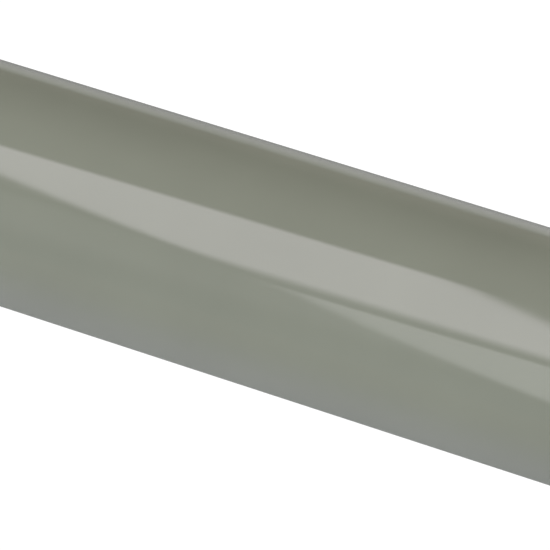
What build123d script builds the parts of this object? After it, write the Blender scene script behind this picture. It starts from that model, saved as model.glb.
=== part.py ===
"""Glazed bullnose trim tile: one pressed and fired bar with a rounded face and a flat back.

Millimetres. +X runs along the tile, +Z stands up from its bed, and -Y is the side that
faces a person in front of it. The origin is the middle of the tile's length and width, on
the plane that it lies on.
"""

import os

from build123d import *

# The bar
tile_length = 200.0
tile_width = 20.0
side_height = 3.6
crown_rise = 8.0

# Edges, rounded by the press and by the glaze that rolls over them
end_round = 0.9
bed_round = 0.6

# Keying grooves pressed into the back, which the adhesive grips
groove_count = 3
groove_pitch = 5.4
groove_width = 2.6
groove_depth = 0.8
groove_end_margin = 9.0

half_width = tile_width / 2
groove_length = tile_length - 2 * groove_end_margin

with BuildPart() as bullnose_tile:
    # Section: a flat bed, two low straight sides, and a crown that leaves both sides upright
    with BuildSketch(Plane.YZ):
        with BuildLine():
            crown = EllipticalCenterArc(
                (0, side_height), half_width, crown_rise, arc_size=180
            )
            Polyline(crown @ 1, (-half_width, 0), (half_width, 0), crown @ 0)
        make_face()
    extrude(amount=tile_length / 2, both=True)

    # Both ends are rounded where they meet the crown and the sides
    end_faces = bullnose_tile.faces().filter_by(Axis.X)
    bed_edges = bullnose_tile.faces().sort_by(Axis.Z)[0].edges()
    fillet(end_faces.edges() - bed_edges, radius=end_round)

    # The bed's outline is rounded all the way around
    fillet(bullnose_tile.faces().sort_by(Axis.Z)[0].edges(), radius=bed_round)

    # Grooves run along the back and stop short of its ends
    with BuildSketch(Plane.XY):
        with GridLocations(0, groove_pitch, 1, groove_count):
            SlotOverall(groove_length, groove_width)
    extrude(amount=groove_depth, mode=Mode.SUBTRACT)

bullnose_tile.part.label = "bullnose_tile"

os.makedirs("parts", exist_ok=True)
export_step(bullnose_tile.part, "parts/bullnose_tile.step")
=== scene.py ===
"""The looks of a glazed bullnose trim tile: one fired bar with a gloss grey-green glaze.

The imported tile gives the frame. This script makes the fired bar in fine mesh, with its glaze,
its bare back and the border between them, and lights it as in a small product studio.
"""

import logging
import math
from collections.abc import Callable
from dataclasses import dataclass, field
from enum import Enum

import bpy
from mathutils import Matrix, Vector, noise


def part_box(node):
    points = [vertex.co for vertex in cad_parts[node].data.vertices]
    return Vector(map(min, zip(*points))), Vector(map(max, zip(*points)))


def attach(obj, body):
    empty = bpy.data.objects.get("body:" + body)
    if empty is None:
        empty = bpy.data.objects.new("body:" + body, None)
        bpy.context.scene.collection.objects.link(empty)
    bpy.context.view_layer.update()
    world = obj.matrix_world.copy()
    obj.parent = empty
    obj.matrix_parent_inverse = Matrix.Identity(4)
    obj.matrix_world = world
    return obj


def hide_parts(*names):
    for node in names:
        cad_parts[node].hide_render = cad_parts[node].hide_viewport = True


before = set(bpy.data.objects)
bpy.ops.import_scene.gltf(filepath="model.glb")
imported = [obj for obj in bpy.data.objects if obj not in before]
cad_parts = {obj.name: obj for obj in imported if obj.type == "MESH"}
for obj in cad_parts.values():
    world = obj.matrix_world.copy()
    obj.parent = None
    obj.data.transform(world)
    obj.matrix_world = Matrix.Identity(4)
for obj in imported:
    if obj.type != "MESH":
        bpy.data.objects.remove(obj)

MM = 0.001
NODE = "bullnose_tile"
BODY = "root"
PHOTO_PIXELS = 550
SENSOR_MM = 36.0

# What the mesh tells the finishes at each of its points
GLAZE_DEPTH = "glaze_depth"
PRESSED = "pressed"

# The glaze's depth where its coat is even, and where it has pooled to twice that
EVEN_COAT = 1.0
POOLED_COAT = 2.0

# The stretch that Blender's noise seldom leaves, out of its range from 0 to 1
NOISE_LOW = 0.25
NOISE_HIGH = 0.75

# The Mix node's colour sockets by their place, because its other kinds share their names
MIX_SHARE = 0
MIX_FIRST = 6
MIX_SECOND = 7
MIX_COLOUR = 2

log = logging.getLogger(NODE)


class Skin(Enum):
    """The bar's two surfaces, each valued by its material's place on the mesh."""

    GLAZE = 0
    BISQUE = 1


class Side(Enum):
    """The bar's two long sides, each valued by its direction across the tile."""

    NEAR = -1.0
    FAR = 1.0


def linear(colour: str) -> tuple[float, float, float, float]:
    """Turns an sRGB colour into the linear values that the shaders use.

    Args:
        colour: The colour as "#RRGGBB".

    Returns:
        Red, green, blue, and an alpha of one.
    """
    shares = [int(colour[i : i + 2], 16) / 255 for i in (1, 3, 5)]
    curved = [s / 12.92 if s <= 0.04045 else ((s + 0.055) / 1.055) ** 2.4 for s in shares]
    return (*curved, 1.0)


def add_node(
    tree: bpy.types.NodeTree,
    kind: str,
    inputs: dict[int | str, object] | None = None,
    **settings: object,
) -> bpy.types.Node:
    """Adds a node with its settings, and fills or links its inputs.

    Args:
        tree: The node tree that gets the node.
        kind: The node's type, such as "ShaderNodeTexNoise".
        inputs: For inputs by name or place, a value or another node's output socket.
        settings: Values for the node's own properties.

    Returns:
        The new node.
    """
    node = tree.nodes.new(kind)
    for name, value in settings.items():
        setattr(node, name, value)
    for key, value in (inputs or {}).items():
        if isinstance(value, bpy.types.NodeSocket):
            tree.links.new(value, node.inputs[key])
        else:
            node.inputs[key].default_value = value
    return node


def empty_material(name: str) -> bpy.types.Material:
    """Makes a material whose node tree is empty.

    Args:
        name: The material's name.

    Returns:
        The new material.
    """
    material = bpy.data.materials.new(name)
    material.use_nodes = True
    material.node_tree.nodes.clear()
    return material


def ease(share: float) -> float:
    """Eases a share from 0 to 1, and holds it inside those limits."""
    held = min(max(share, 0.0), 1.0)
    return held * held * (3 - 2 * held)


@dataclass(frozen=True)
class GlossGlaze:
    """Gloss glaze on earthenware, sprayed on and melted to a glassy skin of about 0.3 mm.

    The skin is smooth glass, so it mirrors the lights sharply and shows an opaque grey-green
    between them. It runs thin over the end edges, and it pools a little towards the bed, where its
    colour is also painted lighter and bluer as painted light from the white floor.
    """

    name: str = "gloss_sage_glaze"
    colour: str = "#777B70"
    thin_colour: str = "#888979"
    # Pooled glaze near the bed, partly: its lighter, bluer tone is also painted light from the
    # white floor
    pooled_and_floor_lit_colour: str = "#7D807C"
    ior: float = 1.5
    roughness: float = 0.06
    mottle_mm: float = 12.0
    mottle_share: float = 0.05
    ripple_mm: float = 1.2
    ripple_height_mm: float = 0.0007

    def toned(self, tree: bpy.types.NodeTree) -> bpy.types.NodeSocket:
        """Colours the glaze by its depth.

        Thin glaze lets the pale body through, and pooled glaze is cooler and a little milky.
        Towards the bed the colour also holds painted light from the white floor, lighter and
        bluer.

        Args:
            tree: The glaze's node tree.

        Returns:
            The colour.
        """
        depth = add_node(tree, "ShaderNodeAttribute", attribute_name=GLAZE_DEPTH).outputs["Fac"]
        covered = add_node(
            tree,
            "ShaderNodeMix",
            {
                MIX_SHARE: depth,
                MIX_FIRST: linear(self.thin_colour),
                MIX_SECOND: linear(self.colour),
            },
            data_type="RGBA",
        ).outputs[MIX_COLOUR]
        # Pooled glaze and painted floor light, towards the bed
        pooled_and_floor_lit_share = add_node(
            tree,
            "ShaderNodeMapRange",
            {"Value": depth, "From Min": EVEN_COAT, "From Max": POOLED_COAT},
        ).outputs["Result"]
        return add_node(
            tree,
            "ShaderNodeMix",
            {MIX_SHARE: pooled_and_floor_lit_share, MIX_FIRST: covered, MIX_SECOND: linear(self.pooled_and_floor_lit_colour)},
            data_type="RGBA",
        ).outputs[MIX_COLOUR]

    def clouds(
        self, tree: bpy.types.NodeTree, place: bpy.types.NodeSocket
    ) -> bpy.types.NodeSocket:
        """Draws soft clouds, a centimetre or so across, where the spray lay thicker or thinner.

        Args:
            tree: The glaze's node tree.
            place: The place on the tile.

        Returns:
            What the colour is multiplied by.
        """
        cloud = add_node(
            tree,
            "ShaderNodeTexNoise",
            {"Vector": place, "Scale": 1 / (self.mottle_mm * MM), "Detail": 3.0},
        ).outputs["Fac"]
        return add_node(
            tree,
            "ShaderNodeMapRange",
            {
                "Value": cloud,
                "From Min": NOISE_LOW,
                "From Max": NOISE_HIGH,
                "To Min": 1 - self.mottle_share,
                "To Max": 1 + self.mottle_share,
            },
        ).outputs["Result"]

    def material(self) -> bpy.types.Material:
        """Builds the glaze's shader.

        Returns:
            The finished material.
        """
        material = empty_material(self.name)
        tree = material.node_tree
        place = add_node(tree, "ShaderNodeTexCoord").outputs["Object"]
        colour = add_node(
            tree,
            "ShaderNodeVectorMath",
            {0: self.toned(tree), 1: self.clouds(tree, place)},
            operation="MULTIPLY",
        ).outputs["Vector"]

        # The melted skin keeps a faint ripple, about a millimetre from crest to crest
        ripple = add_node(
            tree,
            "ShaderNodeTexNoise",
            {"Vector": place, "Scale": 1 / (self.ripple_mm * MM), "Detail": 1.0},
        ).outputs["Fac"]
        normal = add_node(
            tree,
            "ShaderNodeBump",
            {"Height": ripple, "Strength": 1.0, "Distance": self.ripple_height_mm * MM},
        ).outputs["Normal"]
        shader = add_node(
            tree,
            "ShaderNodeBsdfPrincipled",
            {
                "Base Color": colour,
                "Roughness": self.roughness,
                "IOR": self.ior,
                "Normal": normal,
            },
        )
        add_node(tree, "ShaderNodeOutputMaterial", {"Surface": shader.outputs[0]})
        return material


@dataclass(frozen=True)
class BisqueClay:
    """Earthenware body, dry-pressed and fired, left bare on the tile's back.

    It is dull and chalky, warm buff, with fine dark grains and a dusty, slightly uneven tone.
    Where the back isn't pressed in, it is painted paler in patches, so that the grooves show
    darker
    than the lands between them: painted shade in the grooves.
    """

    name: str = "bare_earthenware"
    colour: str = "#C3B59C"
    dusty_colour: str = "#D0C5B1"
    roughness: float = 0.88
    tone_mm: float = 9.0

    # The share of each land painted paler goes up with its noise, between these values, as painted
    # groove shade
    painted_light_land_colour: str = "#E6E1D6"
    painted_light_land_mm: float = 3.5
    painted_light_land_noise: tuple[float, float] = (0.36, 0.6)
    painted_light_land_cover: tuple[float, float] = (0.4, 0.95)

    # Real grains are near 0.1 mm. They are drawn coarser, so that they show
    grain_colour: str = "#9C8F7C"
    grain_mm: float = 0.45
    grain_noise: tuple[float, float] = (0.62, 0.72)
    grain_cover: float = 0.6
    grain_height_mm: float = 0.02
    grain_relief: float = 0.6

    def dusted(
        self, tree: bpy.types.NodeTree, place: bpy.types.NodeSocket
    ) -> bpy.types.NodeSocket:
        """Colours the clay itself, which is a little dusty here and there.

        Args:
            tree: The clay's node tree.
            place: The place on the tile.

        Returns:
            The clay's colour.
        """
        tone = add_node(
            tree,
            "ShaderNodeTexNoise",
            {"Vector": place, "Scale": 1 / (self.tone_mm * MM), "Detail": 4.0},
        ).outputs["Fac"]
        return add_node(
            tree,
            "ShaderNodeMix",
            {
                MIX_SHARE: tone,
                MIX_FIRST: linear(self.colour),
                MIX_SECOND: linear(self.dusty_colour),
            },
            data_type="RGBA",
        ).outputs[MIX_COLOUR]

    def painted_groove_shade(
        self, tree: bpy.types.NodeTree, place: bpy.types.NodeSocket
    ) -> bpy.types.NodeSocket:
        """Paints the lands paler in patches, wherever the back isn't pressed in: painted shade in
        the grooves.

        Args:
            tree: The clay's node tree.
            place: The place on the tile.

        Returns:
            The colour of the clay, with the grooves' painted shade.
        """
        pressed = add_node(tree, "ShaderNodeAttribute", attribute_name=PRESSED).outputs["Fac"]
        proud = add_node(
            tree, "ShaderNodeMapRange", {"Value": pressed, "From Min": 1.0, "From Max": 0.0}
        ).outputs["Result"]
        patches = add_node(
            tree,
            "ShaderNodeTexNoise",
            {"Vector": place, "Scale": 1 / (self.painted_light_land_mm * MM), "Detail": 5.0},
        ).outputs["Fac"]
        kept = add_node(
            tree,
            "ShaderNodeMapRange",
            {
                "Value": patches,
                "From Min": self.painted_light_land_noise[0],
                "From Max": self.painted_light_land_noise[1],
                "To Min": self.painted_light_land_cover[0],
                "To Max": self.painted_light_land_cover[1],
            },
        ).outputs["Result"]
        # The lands are painted paler, so that the grooves carry painted shade
        cover = add_node(
            tree, "ShaderNodeMath", {0: proud, 1: kept}, operation="MULTIPLY"
        ).outputs[0]
        return add_node(
            tree,
            "ShaderNodeMix",
            {
                MIX_SHARE: cover,
                MIX_FIRST: self.dusted(tree, place),
                MIX_SECOND: linear(self.painted_light_land_colour),
            },
            data_type="RGBA",
        ).outputs[MIX_COLOUR]

    def material(self) -> bpy.types.Material:
        """Builds the bare clay's shader.

        Returns:
            The finished material.
        """
        material = empty_material(self.name)
        tree = material.node_tree
        place = add_node(tree, "ShaderNodeTexCoord").outputs["Object"]
        grain = add_node(
            tree,
            "ShaderNodeTexNoise",
            {"Vector": place, "Scale": 1 / (self.grain_mm * MM), "Detail": 2.0},
        ).outputs["Fac"]
        dark = add_node(
            tree,
            "ShaderNodeMapRange",
            {
                "Value": grain,
                "From Min": self.grain_noise[0],
                "From Max": self.grain_noise[1],
                "To Max": self.grain_cover,
            },
        ).outputs["Result"]
        colour = add_node(
            tree,
            "ShaderNodeMix",
            {
                MIX_SHARE: dark,
                MIX_FIRST: self.painted_groove_shade(tree, place),
                MIX_SECOND: linear(self.grain_colour),
            },
            data_type="RGBA",
        ).outputs[MIX_COLOUR]
        normal = add_node(
            tree,
            "ShaderNodeBump",
            {
                "Height": grain,
                "Strength": self.grain_relief,
                "Distance": self.grain_height_mm * MM,
            },
        ).outputs["Normal"]
        shader = add_node(
            tree,
            "ShaderNodeBsdfPrincipled",
            {"Base Color": colour, "Roughness": self.roughness, "Normal": normal},
        )
        add_node(tree, "ShaderNodeOutputMaterial", {"Surface": shader.outputs[0]})
        return material


@dataclass
class KeyGrooves:
    """The long grooves pressed into the back, in millimetres, which the adhesive grips."""

    count: int = 3
    pitch: float = 5.4
    width: float = 2.6
    depth: float = 0.8
    end_margin: float = 9.0
    wall: float = 0.35

    # The bar's sections at the grooves' round ends: how close they lie, and how many are spare
    end_step: float = 0.2
    spare_steps: int = 4

    def depth_at(self, x: float, y: float, half_length: float) -> float:
        """How deep the back is pressed at a point.

        Args:
            x: The point's place along the tile.
            y: The point's place across the tile.
            half_length: Half the tile's length.

        Returns:
            The depth in millimetres, zero on the lands.
        """
        run = half_length - self.end_margin - self.width / 2
        past_run = max(abs(x) - run, 0.0)
        deepest = 0.0
        for i in range(self.count):
            middle = (i - (self.count - 1) / 2) * self.pitch
            inside = self.width / 2 - math.hypot(past_run, y - middle)
            deepest = max(deepest, self.depth * ease(inside / self.wall))
        return deepest

    def stations(self) -> list[float]:
        """Where the round ends of the grooves need sections of the bar.

        Returns:
            The sections' distances from the tile's end, outermost first.
        """
        first = self.end_margin - self.end_step
        count = int(self.width / 2 / self.end_step) + self.spare_steps
        return [first + i * self.end_step for i in range(count)]


@dataclass
class GlazeBorder:
    """The line on the rounded bed edge where the glaze ends, in millimetres and degrees."""

    turn_deg: float = 66.0
    wander_deg: float = 7.0
    wander_mm: float = 6.0
    step_deg: float = 4.0
    bead: float = 0.025

    # Where the noise is read, which differs from side to side
    noise_lane: float = 7.3
    noise_layer: float = 1.9

    def turn_at(self, x: float, side: Side) -> float:
        """How far around the bed edge the glaze reaches at a place along the tile.

        Args:
            x: The place along the tile.
            side: Which of the two sides.

        Returns:
            The angle in radians, from the upright side towards the bed.
        """
        lane = self.noise_lane * side.value
        wander = noise.noise(Vector((x / self.wander_mm, lane, self.noise_layer)))
        return math.radians(self.turn_deg + self.wander_deg * wander)


@dataclass
class SectionPoint:
    """One point of the bar's section, in millimetres, with what the shaders need to know there.

    The glaze's depth is a share of its even coat, and pressed is a share of the grooves' depth.
    """

    y: float
    z: float
    glaze_depth: float = EVEN_COAT
    pressed: float = 0.0


@dataclass
class FiredBar:
    """The tile's one piece: a bar with a domed face, pressed, glazed and fired.

    Its length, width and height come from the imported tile. The other sizes are in millimetres.
    """

    length: float
    width: float
    height: float
    side_height: float = 3.6
    end_round: float = 0.9
    bed_round: float = 0.6
    grooves: KeyGrooves = field(default_factory=KeyGrooves)
    border: GlazeBorder = field(default_factory=GlazeBorder)
    glaze: GlossGlaze = field(default_factory=GlossGlaze)
    bisque: BisqueClay = field(default_factory=BisqueClay)

    # How finely the mesh is drawn
    station_step: float = 1.0
    station_gap: float = 0.25
    round_steps: int = 8
    crown_steps: int = 112
    side_steps: int = 10
    edge_steps: int = 8
    bare_edge_steps: int = 3
    bed_steps: int = 96

    # The press and the fire leave the face faintly wavy: about 0.01 mm over 1 to 3 cm
    wave_height: float = 0.008
    wave_along: float = 26.0
    wave_across: float = 11.0
    wave_fade: float = 3.0

    # The glaze is thin over the ends' edges and pools over the lowest part of the sides, where its
    # colour also holds painted light from the white floor
    thinnest: float = 0.35
    thin_reach: float = 1.6
    pool_and_floor_light_reach: float = 5.5

    def stations(self) -> list[tuple[float, float]]:
        """Where along the bar its section is drawn.

        Returns:
            For each station, its place along the tile and its distance from the nearer end.
        """
        half = self.length / 2
        rounded = [
            self.end_round * (1 - math.cos(math.pi / 2 * i / self.round_steps))
            for i in range(self.round_steps + 1)
        ]
        plain_count = int((half - self.end_round) / self.station_step)
        plain = [half - i * self.station_step for i in range(1, plain_count)]
        groove_ends = self.grooves.stations()
        clear = [d for d in plain if all(abs(d - g) > self.station_gap for g in groove_ends)]
        reach = sorted([*rounded, *groove_ends, *clear])
        near = [(-half + d, d) for d in reach]
        far = [(half - d, d) for d in reversed(reach)]
        return [*near, (0.0, half), *far]

    @staticmethod
    def inset(radius: float, from_end: float) -> float:
        """How far a rounded end edge draws the surface in at a distance from the end."""
        into = radius - min(from_end, radius)
        return radius - math.sqrt(radius * radius - into * into)

    def wave(self, x: float, y: float, z: float) -> float:
        """How far the wavy surface lies inside the true one at a point, in millimetres."""
        at = Vector((x / self.wave_along, y / self.wave_across, z / self.wave_across))
        return self.wave_height * (1 - noise.noise(at)) / 2

    def depth_of_glaze(self, z: float, from_end: float) -> float:
        """The glaze's depth as a share of the even coat.

        Args:
            z: The height above the bed.
            from_end: The distance from the nearer end.

        Returns:
            Below EVEN_COAT where the glaze is thin, above it where it pools and where the glaze's
            colour also holds painted floor light.
        """
        thinned = self.thinnest + (EVEN_COAT - self.thinnest) * ease(from_end / self.thin_reach)
        # Towards the bed the glaze pools, and the same share brings in the painted floor light
        pooled = (POOLED_COAT - EVEN_COAT) * (1 - ease(z / self.pool_and_floor_light_reach))
        return thinned + pooled

    def edge_points(self, x: float, from_end: float, side: Side) -> list[SectionPoint]:
        """The rounded edge between the bed and one side.

        Args:
            x: The section's place along the tile.
            from_end: Its distance from the nearer end.
            side: Which of the two sides.

        Returns:
            The edge's points from the bed up: the bare clay first, then the glaze.
        """
        drawn_in = self.inset(self.end_round, from_end)
        lifted = self.inset(self.bed_round, from_end)
        radius = max(self.bed_round - lifted, self.border.bead)
        middle_y = side.value * (self.width / 2 - drawn_in - radius)
        middle_z = lifted + radius
        turn = self.border.turn_at(x, side)
        bare_turn = turn + math.radians(self.border.step_deg)
        angles = [
            (math.pi / 2 + (bare_turn - math.pi / 2) * i / self.bare_edge_steps, 0.0)
            for i in range(self.bare_edge_steps + 1)
        ]
        for i in range(self.edge_steps):
            share = 1 - i / self.edge_steps
            angles.append((turn * share, self.border.bead * ease(share)))
        points = []
        for angle, proud in angles:
            out = radius + proud * (1 - lifted / self.bed_round)
            y = middle_y + side.value * out * math.cos(angle)
            z = max(middle_z - out * math.sin(angle), 0.0)
            points.append(SectionPoint(y, z, self.depth_of_glaze(z, from_end)))
        return points

    def face_points(self, x: float, from_end: float) -> list[SectionPoint]:
        """The glazed sides and crown, from the near side over the top to the far side.

        Args:
            x: The section's place along the tile.
            from_end: Its distance from the nearer end.

        Returns:
            The points, with the wave and the rounded ends worked in.
        """
        half = self.width / 2
        rise = self.height - self.side_height
        drawn_in = self.inset(self.end_round, from_end)
        lowest = self.bed_round
        # Each true point is a place on the face, and the way that the face looks there
        true_points = []
        for i in range(self.side_steps):
            z = lowest + (self.side_height - lowest) * i / self.side_steps
            true_points.append((-half, z, -1.0, 0.0))
        for i in range(self.crown_steps + 1):
            turn = math.pi * i / self.crown_steps
            across, up = -math.cos(turn), math.sin(turn)
            length = math.hypot(across / half, up / rise)
            true_points.append(
                (
                    half * across,
                    self.side_height + rise * up,
                    across / half / length,
                    up / rise / length,
                )
            )
        for i in range(1, self.side_steps + 1):
            z = self.side_height + (lowest - self.side_height) * i / self.side_steps
            true_points.append((half, z, 1.0, 0.0))
        points = []
        for y, z, normal_y, normal_z in true_points:
            inward = drawn_in + self.wave(x, y, z) * ease((z - lowest) / self.wave_fade)
            points.append(
                SectionPoint(
                    y - normal_y * inward,
                    z - normal_z * inward,
                    self.depth_of_glaze(z, from_end),
                )
            )
        return points

    def bed_points(self, x: float, from_end: float) -> list[SectionPoint]:
        """The bare back with its grooves, from the far side to the near side.

        Args:
            x: The section's place along the tile.
            from_end: Its distance from the nearer end.

        Returns:
            The points between the two rounded bed edges.
        """
        drawn_in = self.inset(self.end_round, from_end)
        lifted = self.inset(self.bed_round, from_end)
        half = self.width / 2 - drawn_in - max(self.bed_round - lifted, self.border.bead)
        points = []
        for i in range(1, self.bed_steps):
            y = half - 2 * half * i / self.bed_steps
            depth = self.grooves.depth_at(x, y, self.length / 2)
            points.append(SectionPoint(y, lifted + depth, pressed=depth / self.grooves.depth))
        return points

    def section(self, x: float, from_end: float) -> tuple[list[SectionPoint], list[Skin]]:
        """The closed section of the bar at one station.

        Args:
            x: The section's place along the tile.
            from_end: Its distance from the nearer end.

        Returns:
            The points around the section, and the skin of the strip that follows each point.
        """
        near_edge = self.edge_points(x, from_end, Side.NEAR)
        far_edge = list(reversed(self.edge_points(x, from_end, Side.FAR)))
        face = self.face_points(x, from_end)
        bed = self.bed_points(x, from_end)
        points = [*near_edge, *face, *far_edge, *bed]
        bare = self.bare_edge_steps
        glazed = len(near_edge) + len(face) + len(far_edge) - 2 * bare - 1
        skins = [Skin.BISQUE] * bare + [Skin.GLAZE] * glazed
        skins += [Skin.BISQUE] * (len(points) - len(skins))
        return points, skins

    def mesh(self) -> bpy.types.Mesh:
        """Draws the bar from its sections and closes both ends.

        Returns:
            The mesh in metres, with its materials and what they read from its points.
        """
        sections = [(x, *self.section(x, from_end)) for x, from_end in self.stations()]
        around = len(sections[0][1])
        corners = [(x * MM, p.y * MM, p.z * MM) for x, points, _ in sections for p in points]
        depths = [p.glaze_depth for _, points, _ in sections for p in points]
        pressed = [p.pressed for _, points, _ in sections for p in points]
        skins = sections[0][2]

        # Every face is wound so that it looks outward, the two end faces too
        faces, places = [], []
        for i in range(len(sections) - 1):
            this, following = i * around, (i + 1) * around
            for j in range(around):
                k = (j + 1) % around
                faces.append((this + j, following + j, following + k, this + k))
                places.append(skins[j].value)
        last = (len(sections) - 1) * around
        faces.append(tuple(range(around)))
        faces.append(tuple(last + j for j in reversed(range(around))))
        places += [Skin.GLAZE.value] * 2

        mesh = bpy.data.meshes.new(f"{NODE}_fired")
        mesh.from_pydata(corners, [], faces)
        mesh.materials.append(self.glaze.material())
        mesh.materials.append(self.bisque.material())
        mesh.polygons.foreach_set("material_index", places)
        mesh.polygons.foreach_set("use_smooth", [True] * len(faces))
        for name, values in ((GLAZE_DEPTH, depths), (PRESSED, pressed)):
            attribute = mesh.attributes.new(name, "FLOAT", "POINT")
            attribute.data.foreach_set("value", values)
        mesh.update()
        return mesh

    def build(self) -> bpy.types.Object:
        """Makes the piece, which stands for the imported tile.

        Returns:
            The new object, riding on the tile's body.
        """
        piece = bpy.data.objects.new("fired_tile", self.mesh())
        bpy.context.scene.collection.objects.link(piece)
        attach(piece, BODY)
        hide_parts(NODE)
        return piece


@dataclass(frozen=True)
class SoftBox:
    """A strip softbox of the product studio: a lit cloth in a frame, in millimetres.

    It lights the tile and the paper, but the camera doesn't see it, so that no view has it in its
    way. Its light fades over a feather along each border. A cloth may hang out of square: its
    right side then leans in towards the foot, and its foot rises to the right.
    """

    name: str
    centre: tuple[float, float, float]
    faces: tuple[float, float, float]
    roll_deg: float
    radiance: float
    tint: str = "#FFFFFF"
    width: float = 264.0
    length: float = 711.0
    feather_top: float = 30.0
    feather_foot: float = 80.0
    feather_sides: float = 40.0
    side_lean: float = 0.0
    foot_lean: float = 0.0

    def placing(self) -> Matrix:
        """Where the cloth hangs, and which way it is turned.

        Returns:
            The object's matrix, with the cloth's width along X and its length along Y.
        """
        out = Vector(self.faces).normalized()
        level = Vector((1, 0, 0))
        level = (level - out * level.dot(out)).normalized()
        across = Matrix.Rotation(math.radians(self.roll_deg), 3, out) @ level
        down = out.cross(across)
        turned = Matrix((across, down, out)).transposed().to_4x4()
        return Matrix.Translation(Vector(self.centre) * MM) @ turned

    @staticmethod
    def skewed(
        tree: bpy.types.NodeTree,
        place: bpy.types.NodeSocket,
        along: bpy.types.NodeSocket,
        half: float,
        lean: float,
    ) -> bpy.types.NodeSocket:
        """Skews a place on the cloth, for a side that leans.

        Args:
            tree: The cloth's node tree.
            place: The place across the side.
            along: The place along the side.
            half: Half the side's length, in millimetres.
            lean: How far the side leans in, as a share of the way along it.

        Returns:
            The place across the side, counted from the leaning line.
        """
        run = add_node(
            tree, "ShaderNodeMath", {0: along, 1: half * MM}, operation="ADD"
        ).outputs[0]
        return add_node(
            tree, "ShaderNodeMath", {0: run, 1: lean, 2: place}, operation="MULTIPLY_ADD"
        ).outputs[0]

    def material(self) -> bpy.types.Material:
        """Builds the lit cloth, which fades into the room towards its frame.

        Returns:
            The finished material.
        """
        material = empty_material(f"{self.name}_diffuser_cloth")
        tree = material.node_tree
        place = add_node(tree, "ShaderNodeTexCoord").outputs["Object"]
        axes = add_node(tree, "ShaderNodeSeparateXYZ", {"Vector": place})
        across, down = axes.outputs["X"], axes.outputs["Y"]
        right = self.skewed(tree, across, down, self.length / 2, self.side_lean)
        foot = self.skewed(tree, down, across, self.width / 2, self.foot_lean)
        borders = (
            (right, 1, self.width / 2, self.feather_sides),
            (across, -1, self.width / 2, self.feather_sides),
            (foot, 1, self.length / 2, self.feather_foot),
            (down, -1, self.length / 2, self.feather_top),
        )
        light = None
        for towards, sign, half, feather in borders:
            fade = add_node(
                tree,
                "ShaderNodeMapRange",
                {
                    "Value": towards,
                    "From Min": sign * (half + feather / 2) * MM,
                    "From Max": sign * (half - feather / 2) * MM,
                },
                interpolation_type="SMOOTHSTEP",
            ).outputs["Result"]
            if light is None:
                light = fade
            else:
                light = add_node(
                    tree, "ShaderNodeMath", {0: light, 1: fade}, operation="MULTIPLY"
                ).outputs[0]
        glow = add_node(
            tree,
            "ShaderNodeEmission",
            {"Color": linear(self.tint), "Strength": self.radiance},
        )
        sheer = add_node(tree, "ShaderNodeBsdfTransparent")
        cloth = add_node(
            tree, "ShaderNodeMixShader", {0: light, 1: sheer.outputs[0], 2: glow.outputs[0]}
        )
        add_node(tree, "ShaderNodeOutputMaterial", {"Surface": cloth.outputs[0]})
        return material

    def build(self) -> bpy.types.Object:
        """Hangs the softbox.

        Returns:
            The new object.
        """
        x = (self.width + self.feather_sides) / 2 * MM
        top = (self.length + self.feather_top) / 2 * MM
        foot = (self.length + self.feather_foot) / 2 * MM
        corners = [(-x, -top, 0), (x, -top, 0), (x, foot, 0), (-x, foot, 0)]
        mesh = bpy.data.meshes.new(self.name)
        mesh.from_pydata(corners, [], [(0, 1, 2, 3)])
        mesh.materials.append(self.material())
        box = bpy.data.objects.new(self.name, mesh)
        bpy.context.scene.collection.objects.link(box)
        box.matrix_world = self.placing()
        box.visible_camera = False
        return box


OVERHEAD_SOFTBOX = SoftBox(
    "overhead_softbox",
    centre=(-261.8, -78.0, 846.4),
    faces=(-0.255, 0.482, -0.838),
    roll_deg=-21.0,
    radiance=4.72,
    tint="#FFFAFE",
    width=258.0,
    length=674.5,
    feather_top=90.0,
    feather_foot=105.0,
    feather_sides=28.0,
    side_lean=0.06,
    foot_lean=0.16,
)
FRONT_SOFTBOX = SoftBox(
    "front_softbox",
    centre=(-129.3, -645.9, 548.1),
    faces=(-0.589, 0.738, -0.329),
    roll_deg=-21.0,
    radiance=3.15,
    length=752.0,
    feather_top=48.0,
    feather_sides=28.0,
)
REAR_SOFTBOX = SoftBox(
    "rear_softbox",
    centre=(430.0, 480.0, 560.0),
    faces=(-0.504, -0.562, -0.656),
    roll_deg=0.0,
    radiance=2.0,
    width=700.0,
    length=200.0,
)


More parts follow.
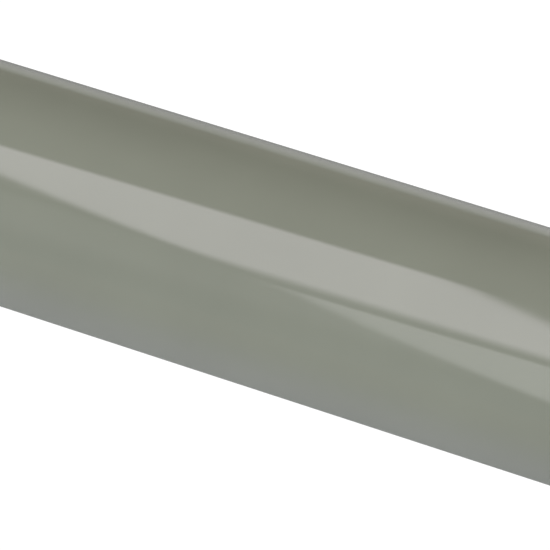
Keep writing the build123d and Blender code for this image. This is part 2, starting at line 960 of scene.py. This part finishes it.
@dataclass
class Ground:
    """What the tile lies on: a sheet of white paper, photographed so bright that it is blank.

    The glaze mirrors the paper itself, with painted shade in the paper's colour: a painted shadow
    close behind the tile and painted dimming far behind it. The camera sees a blank white sheet in
    its place, because the photograph's ground is pure white all over.
    Both sheets stop just inside the tile's bed, a hair below it. From below the camera sees
    through both, so that the tile's keyed back shows. Sizes are in millimetres.
    """

    tile_length: float
    tile_width: float
    half_size: float = 2500.0
    tuck: float = 0.5
    drop: float = 0.02
    blank_strength: float = 1.05

    # Each tone is a place behind the tile's middle with the paper's colour there, painted shade
    # included: a painted shadow close behind the tile and painted dimming far behind it
    tones: tuple[tuple[float, str], ...] = (
        (-6.0, "#FBFCFD"),
        (8.0, "#5C5D5E"),
        (23.0, "#A3A4A8"),
        (36.0, "#CCCDD2"),
        (60.0, "#DCDDDE"),
        (120.0, "#D8DAD8"),
        (200.0, "#CCCECB"),
        (600.0, "#B9BCB8"),
    )

    # How brightly the tones are painted, as painted light, at the left and at the right, first in
    # front of the tile's middle and then behind it. The painted light changes between two places
    # along the tile
    front_painted_light: tuple[float, float] = (1.0, 0.95)
    rear_painted_light: tuple[float, float] = (0.93, 1.12)
    left_until: float = -30.0
    right_from: float = 25.0

    # Past the tile's ends the paper is plain, without the painted shadow, from in front of the
    # tile to close behind it
    plain_colour: str = "#FBFCFD"
    end_clear: float = 6.0
    end_fade: float = 24.0
    plain_until: float = 60.0
    toned_from: float = 120.0

    def blank_material(self) -> bpy.types.Material:
        """Builds the even white that the camera sees from above.

        Returns:
            The finished material.
        """
        material = empty_material("blank_white")
        tree = material.node_tree
        below = add_node(tree, "ShaderNodeNewGeometry").outputs["Backfacing"]
        glow = add_node(tree, "ShaderNodeEmission", {"Strength": self.blank_strength})
        clear = add_node(tree, "ShaderNodeBsdfTransparent")
        surface = add_node(
            tree, "ShaderNodeMixShader", {0: below, 1: glow.outputs[0], 2: clear.outputs[0]}
        )
        add_node(tree, "ShaderNodeOutputMaterial", {"Surface": surface.outputs[0]})
        return material

    @staticmethod
    def lit(colour: str, light: float) -> tuple[float, float, float, float]:
        """The linear values of a colour, painted brighter or dimmer to stand for more or less
        light.
        """
        red, green, blue, alpha = linear(colour)
        return (light * red, light * green, light * blue, alpha)

    def toned(
        self,
        tree: bpy.types.NodeTree,
        along: bpy.types.NodeSocket,
        behind: bpy.types.NodeSocket,
    ) -> bpy.types.NodeSocket:
        """Paints light and shade into the paper's colour: a painted shadow close behind the tile,
        painted dimming far away, and painted light that changes from left to right.

        Args:
            tree: The paper's node tree.
            along: The place along the tile.
            behind: The place behind the tile's middle.

        Returns:
            The paper's colour beside the tile, with its painted light and shade.
        """
        nearest, farthest = self.tones[0][0], self.tones[-1][0]
        reach = add_node(
            tree,
            "ShaderNodeMapRange",
            {"Value": behind, "From Min": nearest * MM, "From Max": farthest * MM},
        ).outputs["Result"]
        sides = []
        for front, rear in zip(self.front_painted_light, self.rear_painted_light):
            ramp = add_node(tree, "ShaderNodeValToRGB", {"Fac": reach})
            stops = ramp.color_ramp.elements
            while len(stops) < len(self.tones):
                stops.new(1.0)
            for stop, (place, tone) in zip(stops, self.tones):
                stop.position = (place - nearest) / (farthest - nearest)
                stop.color = self.lit(tone, front if place < 0 else rear)
            sides.append(ramp.outputs["Color"])
        rightward = add_node(
            tree,
            "ShaderNodeMapRange",
            {"Value": along, "From Min": self.left_until * MM, "From Max": self.right_from * MM},
        ).outputs["Result"]
        return add_node(
            tree,
            "ShaderNodeMix",
            {MIX_SHARE: rightward, MIX_FIRST: sides[0], MIX_SECOND: sides[1]},
            data_type="RGBA",
        ).outputs[MIX_COLOUR]

    def plain_share(
        self,
        tree: bpy.types.NodeTree,
        along: bpy.types.NodeSocket,
        behind: bpy.types.NodeSocket,
    ) -> bpy.types.NodeSocket:
        """Ends the tile's painted shadow where the tile ends.

        Args:
            tree: The paper's node tree.
            along: The place along the tile.
            behind: The place behind the tile's middle.

        Returns:
            How far the paper has its plain colour, without painted shade, from 0 to 1.
        """
        from_middle = add_node(
            tree, "ShaderNodeMath", {0: along}, operation="ABSOLUTE"
        ).outputs[0]
        shade_end = self.tile_length / 2 - self.end_clear
        past_end = add_node(
            tree,
            "ShaderNodeMapRange",
            {
                "Value": from_middle,
                "From Min": shade_end * MM,
                "From Max": (shade_end + self.end_fade) * MM,
            },
            interpolation_type="SMOOTHSTEP",
        ).outputs["Result"]
        close_by = add_node(
            tree,
            "ShaderNodeMapRange",
            {
                "Value": behind,
                "From Min": self.toned_from * MM,
                "From Max": self.plain_until * MM,
            },
        ).outputs["Result"]
        return add_node(
            tree, "ShaderNodeMath", {0: past_end, 1: close_by}, operation="MULTIPLY"
        ).outputs[0]

    def paper_material(self) -> bpy.types.Material:
        """Builds matt white paper, with the light and shade around the tile painted into its
        colour.

        Returns:
            The finished material.
        """
        material = empty_material("matt_white_paper_painted_shade")
        tree = material.node_tree
        place = add_node(tree, "ShaderNodeTexCoord").outputs["Object"]
        axes = add_node(tree, "ShaderNodeSeparateXYZ", {"Vector": place})
        along, behind = axes.outputs["X"], axes.outputs["Y"]
        colour = add_node(
            tree,
            "ShaderNodeMix",
            {
                MIX_SHARE: self.plain_share(tree, along, behind),
                MIX_FIRST: self.toned(tree, along, behind),
                MIX_SECOND: linear(self.plain_colour),
            },
            data_type="RGBA",
        ).outputs[MIX_COLOUR]
        surface = add_node(tree, "ShaderNodeBsdfDiffuse", {"Color": colour})
        add_node(tree, "ShaderNodeOutputMaterial", {"Surface": surface.outputs[0]})
        return material

    def sheet(self, name: str, material: bpy.types.Material) -> bpy.types.Object:
        """Lays a square sheet under the tile, open where the tile lies.

        Args:
            name: The sheet's name.
            material: What it is made of.

        Returns:
            The new object.
        """
        far = self.half_size * MM
        x = (self.tile_length / 2 - self.tuck) * MM
        y = (self.tile_width / 2 - self.tuck) * MM
        outer = [(-far, -far, 0), (far, -far, 0), (far, far, 0), (-far, far, 0)]
        inner = [(-x, -y, 0), (x, -y, 0), (x, y, 0), (-x, y, 0)]
        faces = [(i, (i + 1) % 4, (i + 1) % 4 + 4, i + 4) for i in range(4)]
        mesh = bpy.data.meshes.new(name)
        mesh.from_pydata(outer + inner, [], faces)
        mesh.materials.append(material)
        sheet = bpy.data.objects.new(name, mesh)
        sheet.location.z = -self.drop * MM
        bpy.context.scene.collection.objects.link(sheet)
        return sheet

    def build(self) -> bpy.types.Object:
        """Lays the paper, and the blank sheet that only the camera sees.

        Returns:
            The paper.
        """
        paper = self.sheet("white_paper", self.paper_material())
        paper.visible_camera = False
        blank = self.sheet("blank_ground", self.blank_material())
        blank.visible_diffuse = False
        blank.visible_glossy = False
        blank.visible_transmission = False
        blank.visible_shadow = False
        return paper


@dataclass
class StudioRoom:
    """The room around the table, from its bright front to its dim back.

    Each tone is a place along the view from the front wall (-1) over the ceiling (0) to the
    back wall (1), with the room's brightness there. The world's colours hold these as shares of
    the brightest, and its strength makes up for it.
    """

    tones: tuple[tuple[float, float], ...] = (
        (-1.0, 1.03),
        (-0.9, 0.88),
        (-0.77, 1.18),
        (-0.6, 1.12),
        (-0.5, 1.08),
        (-0.42, 0.7),
        (-0.1, 0.92),
        (0.1, 0.92),
        (0.5, 0.74),
        (0.88, 0.29),
        (0.91, 0.28),
        (0.975, 0.46),
        (1.0, 0.48),
    )
    brightest: float = 1.5
    front_tint: str = "#FBFEFF"
    back_tint: str = "#FFF8E9"
    backdrop: float = 1.05

    def paint(self, share: float, tone: float) -> tuple[float, float, float, float]:
        """The room's colour in one direction.

        Args:
            share: The way from the front (0) to the back (1).
            tone: The room's brightness there.

        Returns:
            The linear colour, as a share of the brightest.
        """
        ends = zip(linear(self.front_tint)[:3], linear(self.back_tint)[:3])
        mixed = [tone / self.brightest * (a + (b - a) * share) for a, b in ends]
        return (*mixed, 1.0)

    def build(self) -> bpy.types.World:
        """Paints the room by direction, from the tile's front (-Y) to its back (+Y).

        Returns:
            The scene's world.
        """
        world = bpy.data.worlds.new("studio_room")
        world.use_nodes = True
        tree = world.node_tree
        tree.nodes.clear()
        towards = add_node(tree, "ShaderNodeTexCoord").outputs["Generated"]
        back = add_node(tree, "ShaderNodeSeparateXYZ", {"Vector": towards}).outputs["Y"]
        share = add_node(
            tree, "ShaderNodeMapRange", {"Value": back, "From Min": -1.0, "From Max": 1.0}
        ).outputs["Result"]
        ramp = add_node(tree, "ShaderNodeValToRGB", {"Fac": share})
        stops = ramp.color_ramp.elements
        while len(stops) < len(self.tones):
            stops.new(0.5)
        for stop, (place, tone) in zip(stops, self.tones):
            stop.position = (place + 1) / 2
            stop.color = self.paint(stop.position, tone)

        # The camera sees the same blank white past the ground as on it
        seen = add_node(tree, "ShaderNodeLightPath").outputs["Is Camera Ray"]
        blank = self.backdrop / self.brightest
        colour = add_node(
            tree,
            "ShaderNodeMix",
            {
                MIX_SHARE: seen,
                MIX_FIRST: ramp.outputs["Color"],
                MIX_SECOND: (blank, blank, blank, 1.0),
            },
            data_type="RGBA",
        ).outputs[MIX_COLOUR]
        background = add_node(
            tree, "ShaderNodeBackground", {"Color": colour, "Strength": self.brightest}
        )
        add_node(tree, "ShaderNodeOutputWorld", {"Surface": background.outputs[0]})
        bpy.context.scene.world = world
        return world


@dataclass
class ProductCamera:
    """A long lens close to the tile, at the photograph's angle, with sizes in millimetres.

    Its focal length is in the photograph's own pixels, and it draws nothing nearer than clip_near.
    """

    azimuth_deg: float = 24.565
    elevation_deg: float = 43.8
    distance: float = 317.9
    aim: tuple[float, float, float] = (-0.005, -3.269, 6.014)
    focal_pixels: float = 4158.5
    clip_near: float = 10.0

    def build(self) -> bpy.types.Object:
        """Sets up the camera and makes it the scene's own.

        Returns:
            The camera object.
        """
        azimuth, elevation = math.radians(self.azimuth_deg), math.radians(self.elevation_deg)
        back = Vector(
            (
                math.sin(azimuth) * math.cos(elevation),
                -math.cos(azimuth) * math.cos(elevation),
                math.sin(elevation),
            )
        )
        data = bpy.data.cameras.new("product_camera")
        data.sensor_width = SENSOR_MM
        data.lens = self.focal_pixels / PHOTO_PIXELS * SENSOR_MM
        data.clip_start = self.clip_near * MM
        camera = bpy.data.objects.new("product_camera", data)
        bpy.context.scene.collection.objects.link(camera)
        camera.location = (Vector(self.aim) + back * self.distance) * MM
        camera.rotation_euler = back.to_track_quat("Z", "Y").to_euler()
        bpy.context.scene.camera = camera
        return camera


def main() -> None:
    """Builds the tile, its stage, its lights and its camera, from the model's size."""
    logging.basicConfig(level=logging.INFO, format="%(name)s: %(message)s")
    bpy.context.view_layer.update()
    low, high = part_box(NODE)
    length, width, height = (high - low) / MM
    makers: list[tuple[str, Callable[[], bpy.types.ID]]] = [
        ("fired tile", FiredBar(length, width, height).build),
        ("overhead softbox", OVERHEAD_SOFTBOX.build),
        ("front softbox", FRONT_SOFTBOX.build),
        ("rear softbox", REAR_SOFTBOX.build),
        ("ground", Ground(length, width).build),
        ("studio room", StudioRoom().build),
        ("camera", ProductCamera().build),
    ]
    for name, build in makers:
        made = build()
        log.info("%s built as %s", name, made.name)
    bpy.context.scene.view_settings.view_transform = "Standard"


if __name__ == "__main__":
    main()
